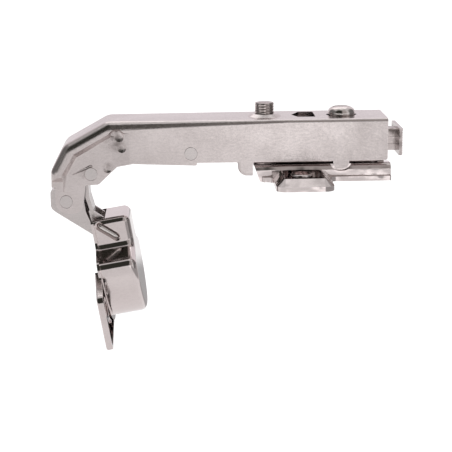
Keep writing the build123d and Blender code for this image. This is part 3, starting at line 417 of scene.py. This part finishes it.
def make_wear_group():
    """Where edges are rubbed bright: a curvature mask broken up by noise."""
    group, source, result = new_group("rubbed edges", "Mask", Radius=0.0004, Scale=900.0)
    bevel = group.nodes.new("ShaderNodeBevel")
    bevel.samples = WEAR_SAMPLES
    group.links.new(source["Radius"], bevel.inputs["Radius"])
    flat = group.nodes.new("ShaderNodeNewGeometry").outputs["Normal"]
    dot = group.nodes.new("ShaderNodeVectorMath")
    dot.operation = "DOT_PRODUCT"
    group.links.new(bevel.outputs["Normal"], dot.inputs[0])
    group.links.new(flat, dot.inputs[1])
    edge = ramp(group, dot.outputs["Value"], *WEAR_EDGE)
    patchy = noise(group, coordinates(group), source["Scale"], detail=3.0, rough=0.6)
    group.links.new(calc(group, "MULTIPLY", edge, ramp(group, patchy, *WEAR_PATCHES)), result)
    return group


GRAIN = make_grain_group()
SPECKS = make_specks_group()
CLOUDS = make_clouds_group()
WAVES = make_waves_group()
SHADE_AND_SMUDGE = make_shade_and_smudge_group()
WEAR = make_wear_group()
print("groups:", [g.name for g in bpy.data.node_groups])

# %% [markdown]
# A plated finish is one recipe with different numbers: a pale warm metal whose tint
# and roughness follow the grain, the specks and the clouds, and a very small bump
# from the grain and specks. Satin sheet is rougher and its tints lie farther apart
# than those of the drawn bright parts. Waves, rubbed edges and dark spots come on
# top where a part has them; the dark spots are painted shade, with some real
# smudging among those on the press marks.

# %% Plated metal
SPECK_SCALE = 2600.0
GRAIN_SHARE = 0.5                # of the grain in the texture, the rest is specks
TEXTURE_SHARE = 0.76             # of the texture in the tint, the rest is clouds
TINT_EDGE = (0.34, 0.66)         # from the pale tint to the deep one
RELIEF_STRENGTH = 0.35
WORN_PALER = 1.12
WORN_SMOOTHER = 0.5
SHADE_AND_SOOT = (0.16, 0.13, 0.12)        # tint of a dark spot: painted shade, and on the press marks partly real smudging
SHADE_AND_SOOT_ROUGHER = 0.25
PRESS_MARK_SHADE_AND_SMUDGES = (                # x, z and radius in mm, and depth: painted shade at the press dimples and a broad grey patch, with real smudging between the dimples
    (-57.1, 14.9, 2.6, 0.55), (-56.3, 11.9, 2.8, 0.55), (-58.5, 13.0, 4.5, 0.25),
    (-59.8, 4.9, 2.4, 0.55), (-67.4, 3.2, 2.2, 0.40),
)
# Painted shade: dark spots on the top of the lever's stem, x, z and radius in mm, and depth
LEVER_STEM_PAINTED_SHADE = ((29.4, 15.0, 1.8, 0.8), (31.0, 13.9, 1.8, 0.8), (31.4, 11.0, 1.5, 0.6))
PLASTIC_CLOUDS = 300.0
PLASTIC_SPECKS = 3000.0
PLASTIC_DARKER = 0.8
PLASTIC_ROUGH = (0.4, 0.55)
PLASTIC_BUMP = 0.02 * MM
PLASTIC_STRENGTH = 0.3


def use_group(tree, group, **values):
    """Adds a group with these inputs, and gives its one output."""
    node = tree.nodes.new("ShaderNodeGroup")
    node.node_tree = group
    for name, value in values.items():
        node.inputs[name].default_value = value
    return node.outputs[0]


def mix_values(tree, share, first, second):
    """Share of the first value, and the rest of the second."""
    return calc(tree, "ADD", calc(tree, "MULTIPLY", first, share),
                calc(tree, "MULTIPLY", second, 1.0 - share))


def plated(name, pale, deep, smooth, rough, length=12.0, relief=0.02 * MM, worn=0.0, waves=0.0,
           shade_and_smudge_spots=()):
    """A plated metal between two tints and two roughnesses."""
    material, tree, shader = new_material(name)
    shader.inputs["Metallic"].default_value = 1.0
    lines = use_group(tree, GRAIN, Length=length)
    texture = mix_values(tree, GRAIN_SHARE, lines, use_group(tree, SPECKS, Scale=SPECK_SCALE))
    mixed = mix_values(tree, TEXTURE_SHARE, texture, use_group(tree, CLOUDS))
    share = ramp(tree, mixed, *TINT_EDGE, smooth=False)
    colour = blend_colours(tree, share, pale, deep)
    roughness = ramp(tree, share, 0.0, 1.0, smooth=False, ends=(smooth, rough))
    if worn:
        mask = use_group(tree, WEAR)
        rubbed = tuple(min(1.0, c * WORN_PALER) for c in pale)
        colour = blend_colours(tree, calc(tree, "MULTIPLY", mask, worn), colour, rubbed)
        roughness = calc(tree, "SUBTRACT", roughness,
                         calc(tree, "MULTIPLY", mask, smooth * WORN_SMOOTHER))
    # Each dark spot is painted shade, darker and rougher; on the press marks some of it is real
    # smudging.
    for x, z, radius, depth in shade_and_smudge_spots:
        mask = use_group(tree, SHADE_AND_SMUDGE, X=x * MM, Z=z * MM, Radius=radius * MM)
        spot = calc(tree, "MULTIPLY", mask, depth)
        colour = blend_colours(tree, spot, colour, SHADE_AND_SOOT)
        roughness = calc(tree, "ADD", roughness, calc(tree, "MULTIPLY", spot, SHADE_AND_SOOT_ROUGHER))
    tree.links.new(colour, shader.inputs["Base Color"])
    tree.links.new(roughness, shader.inputs["Roughness"])
    fine = bump(tree, texture, RELIEF_STRENGTH, relief)
    if waves:
        swell = bump(tree, use_group(tree, WAVES), 1.0, waves)
        tree.links.new(swell.outputs["Normal"], fine.inputs["Normal"])
    tree.links.new(fine.outputs["Normal"], shader.inputs["Normal"])
    return material


def moulded(name, colour):
    """Acetal of the damper's plastic pieces."""
    material, tree, shader = new_material(name)
    slow = use_group(tree, CLOUDS, Scale=PLASTIC_CLOUDS)
    darker = tuple(c * PLASTIC_DARKER for c in colour)
    tree.links.new(blend_colours(tree, slow, colour, darker), shader.inputs["Base Color"])
    tree.links.new(ramp(tree, slow, 0.0, 1.0, smooth=False, ends=PLASTIC_ROUGH),
                   shader.inputs["Roughness"])
    fine = bump(tree, use_group(tree, SPECKS, Scale=PLASTIC_SPECKS), PLASTIC_STRENGTH, PLASTIC_BUMP)
    tree.links.new(fine.outputs["Normal"], shader.inputs["Normal"])
    return material


SATIN = {"pale": (0.69, 0.63, 0.62), "deep": (0.575, 0.517, 0.507), "smooth": 0.17, "rough": 0.27,
         "length": 2.5}
BRIGHT = {"pale": (0.72, 0.65, 0.64), "deep": (0.65, 0.58, 0.57), "smooth": 0.06, "rough": 0.14,
          "length": 2.5, "relief": 0.008 * MM}
satin_nickel = plated("satin nickel sheet", **SATIN, waves=0.05 * MM)
# The arm gets dark spots at its press marks: painted shade, with some real smudging.
arm_nickel = plated("satin nickel with press marks and painted shade", **SATIN, waves=0.018 * MM, worn=0.5,
                    shade_and_smudge_spots=PRESS_MARK_SHADE_AND_SMUDGES)
cup_nickel = plated("drawn bright nickel", **BRIGHT, waves=0.06 * MM, worn=0.4)
plate_nickel = plated("pressed bright nickel", **BRIGHT, waves=0.45 * MM, worn=0.5)
# The lever's stem top gets dark spots of painted shade.
lever_nickel = plated("dull nickel lever with painted shade", pale=(0.56, 0.50, 0.49), deep=(0.40, 0.35, 0.34),
                      smooth=0.14, rough=0.24, worn=0.6, shade_and_smudge_spots=LEVER_STEM_PAINTED_SHADE)
link_steel = plated("plated link", pale=(0.64, 0.59, 0.58), deep=(0.55, 0.51, 0.50),
                    smooth=0.20, rough=0.30)
rivet_steel = plated("plated rivet", pale=(0.64, 0.59, 0.58), deep=(0.58, 0.54, 0.53),
                     smooth=0.18, rough=0.28, relief=0.01 * MM)
screw_steel = plated("plated screw", pale=(0.74, 0.68, 0.66), deep=(0.60, 0.54, 0.52),
                     smooth=0.10, rough=0.20, length=1.0)
stud_steel = plated("plated stud", pale=(0.68, 0.61, 0.59), deep=(0.42, 0.36, 0.345),
                    smooth=0.06, rough=0.14, length=1.0)
pin_wire = plated("drawn wire", pale=(0.78, 0.74, 0.73), deep=(0.66, 0.63, 0.61),
                  smooth=0.12, rough=0.22, length=3.0)
spring_wire = plated("spring wire", pale=(0.42, 0.41, 0.41), deep=(0.30, 0.29, 0.29),
                     smooth=0.25, rough=0.4, length=2.0)
tube_steel = plated("damper tube", pale=(0.72, 0.69, 0.68), deep=(0.64, 0.61, 0.60),
                    smooth=0.18, rough=0.3, length=30.0)
grey_acetal = moulded("grey acetal", (0.06, 0.06, 0.065))

FINISH = {
    "arm": arm_nickel, "adapter": satin_nickel, "damper_cradle": satin_nickel,
    "mounting_plate": plate_nickel, "cup": cup_nickel, "release_lever": lever_nickel,
    "inner_link": link_steel, "outer_link": link_steel, "clamp_plate": link_steel,
    "inner_pivot_rivet": rivet_steel, "outer_pivot_rivet": rivet_steel,
    "damper_rivet": rivet_steel, "hook_pin": rivet_steel, "lever_pin": rivet_steel,
    "damper_rod": rivet_steel, "damper_link_pin": rivet_steel,
    "overlay_screw": stud_steel, "fixing_screw": screw_steel,
    "cup_pin": pin_wire, "lever_spring": spring_wire, "closing_spring": spring_wire,
    "damper_cylinder": tube_steel, "damper_end_eye": grey_acetal,
    "damper_seal_cap": grey_acetal, "damper_piston": grey_acetal,
}
for name, material in FINISH.items():
    mesh = nodes[name].data
    mesh.materials.clear()
    mesh.materials.append(material)
print("finished nodes:", len(FINISH), "left plain:", sorted(set(nodes) - set(FINISH)))

# %% [markdown]
# The two adjusting screws have a thread and a cross recess that the frame leaves
# out. Each is turned from a circle, extruded ring by ring, its edges are broken
# with a bevel, and the recess is cut by two crossed wedges. The thread is one
# tooth, a plane narrowed on its outer side, wound up by a screw modifier.

# %% Threaded screws
SCREW_SIDES = 72
EDGE_WIDTH = 0.07 * MM
EDGE_STEPS = 3
EDGE_ANGLE = radians(28)         # sharper edges than this are broken
SMOOTH_ANGLE = radians(32)       # and duller ones than this shaded smooth
PITCH = 0.85 * MM
TOOTH = 0.16 * MM                # depth of the tooth, with its foot sunk in the shank
TOOTH_MIDDLE = 0.44              # its middle above the root, as a share of its depth
CREST = 0.42                     # its width at the crest, as a share of the pitch
RECESS_WIDTH = 1.2 * MM
RECESS_TAPER = 0.72
SCREWS = {                       # in mm and degrees; each ring is a radius and a height
    "overlay_screw": {
        "x": -10.4, "thread": (16.9, 23.4), "root": 2.86,
        "rings": ((2.7, 13.5), (3.0, 13.8), (3.0, 14.9), (1.8, 14.9), (1.8, 16.7), (2.86, 16.9),
                  (2.86, 23.7)),
        "recess_length": 6.2, "recess_depth": 1.5, "turn": 24,
    },
    "fixing_screw": {
        "x": 14.1, "thread": (12.6, 19.4), "root": 1.62,
        "rings": ((1.3, 12.2), (1.62, 12.6), (1.62, 19.5), (4.15, 19.5), (4.3, 19.75),
                  (4.3, 20.3), (4.18, 20.9), (3.85, 21.4), (3.3, 21.8), (2.6, 22.05),
                  (1.9, 22.2)),
        "recess_length": 6.4, "recess_depth": 1.6, "turn": 0,
    },
}


def select_verts(piece, test):
    """In edit mode, leaves only the vertices selected for which test says yes."""
    bpy.ops.mesh.select_all(action="DESELECT")
    bpy.ops.object.mode_set(mode="OBJECT")
    for vertex in piece.data.vertices:
        vertex.select = test(vertex.co)
    bpy.ops.object.mode_set(mode="EDIT")


def apply_modifier(piece, kind, **settings):
    bpy.context.view_layer.objects.active = piece
    modifier = piece.modifiers.new(kind.lower(), kind)
    for name, value in settings.items():
        setattr(modifier, name, value)
    bpy.ops.object.modifier_apply(modifier=modifier.name)


def turned_piece(name, x, rings):
    """Round piece about an upright axis, from its rings."""
    bpy.ops.object.select_all(action="DESELECT")
    radius, height = rings[0]
    bpy.ops.mesh.primitive_circle_add(vertices=SCREW_SIDES, radius=radius * MM, fill_type="NGON",
                                      location=(x, 0, height * MM))
    piece = bpy.context.active_object
    piece.name = name
    bpy.ops.object.mode_set(mode="EDIT")
    bpy.ops.mesh.select_all(action="SELECT")
    for wider, higher in rings[1:]:
        rise = (higher - height) * MM
        bpy.ops.mesh.extrude_region_move(TRANSFORM_OT_translate={"value": (0, 0, rise)})
        scale = wider / radius
        bpy.ops.transform.resize(value=(scale, scale, 1))
        radius, height = wider, higher
    bpy.ops.mesh.select_all(action="SELECT")
    bpy.ops.mesh.normals_make_consistent(inside=False)
    bpy.ops.object.mode_set(mode="OBJECT")
    apply_modifier(piece, "BEVEL", width=EDGE_WIDTH, segments=EDGE_STEPS, limit_method="ANGLE",
                   angle_limit=EDGE_ANGLE)
    return piece


def cut_cross(piece, x, top, length, depth, turn):
    """Cross recess: two crossed wedges taken off the top."""
    for bearing in (turn, turn + 90):
        bpy.ops.object.select_all(action="DESELECT")
        bpy.ops.mesh.primitive_cube_add(size=1, location=(x, 0, top),
                                        rotation=(0, 0, radians(bearing)))
        wedge = bpy.context.active_object
        bpy.ops.object.mode_set(mode="EDIT")
        bpy.ops.transform.resize(value=(length, RECESS_WIDTH, 2 * depth))
        select_verts(wedge, lambda co: co.z < 0)
        bpy.ops.transform.resize(value=(RECESS_TAPER, RECESS_TAPER, 1))
        bpy.ops.object.mode_set(mode="OBJECT")
        apply_modifier(piece, "BOOLEAN", object=wedge, operation="DIFFERENCE", solver="EXACT")
        bpy.data.objects.remove(wedge)


def wind_thread(x, low, high, root):
    """One tooth wound up around the axis, from low to high."""
    bpy.ops.object.select_all(action="DESELECT")
    bpy.ops.mesh.primitive_plane_add(size=1, location=(x, 0, low))
    tooth = bpy.context.active_object
    middle = root + TOOTH * TOOTH_MIDDLE
    bpy.ops.object.mode_set(mode="EDIT")
    bpy.ops.transform.rotate(value=pi / 2, orient_axis="X")
    bpy.ops.transform.resize(value=(TOOTH, 1, PITCH))
    bpy.ops.transform.translate(value=(middle, 0, PITCH / 2))
    select_verts(tooth, lambda co: co.x > middle)
    bpy.ops.transform.resize(value=(1, 1, CREST))
    bpy.ops.object.mode_set(mode="OBJECT")
    apply_modifier(tooth, "SCREW", axis="Z", angle=2 * pi, screw_offset=PITCH,
                   iterations=int((high - low) / PITCH), steps=SCREW_SIDES,
                   render_steps=SCREW_SIDES)
    return tooth


def make_screw(node, x, thread, root, rings, recess_length, recess_depth, turn):
    """A screw with recess and thread, in the place of the CAD node."""
    x = x * MM
    piece = turned_piece("threaded_" + node, x, rings)
    cut_cross(piece, x, rings[-1][1] * MM, recess_length * MM, recess_depth * MM, turn)
    tooth = wind_thread(x, thread[0] * MM, thread[1] * MM, root * MM)
    bpy.ops.object.select_all(action="DESELECT")
    tooth.select_set(True)
    piece.select_set(True)
    bpy.context.view_layer.objects.active = piece
    bpy.ops.object.join()
    bpy.ops.object.transform_apply(location=True, rotation=True, scale=True)
    bpy.ops.object.shade_smooth_by_angle(angle=SMOOTH_ANGLE)
    piece.data.materials.clear()
    piece.data.materials.append(FINISH[node])
    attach(piece, node)
    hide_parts(node)
    return piece


screws = [make_screw(node, **form) for node, form in SCREWS.items()]
print("screws:", [(screw.name, len(screw.data.polygons)) for screw in screws])
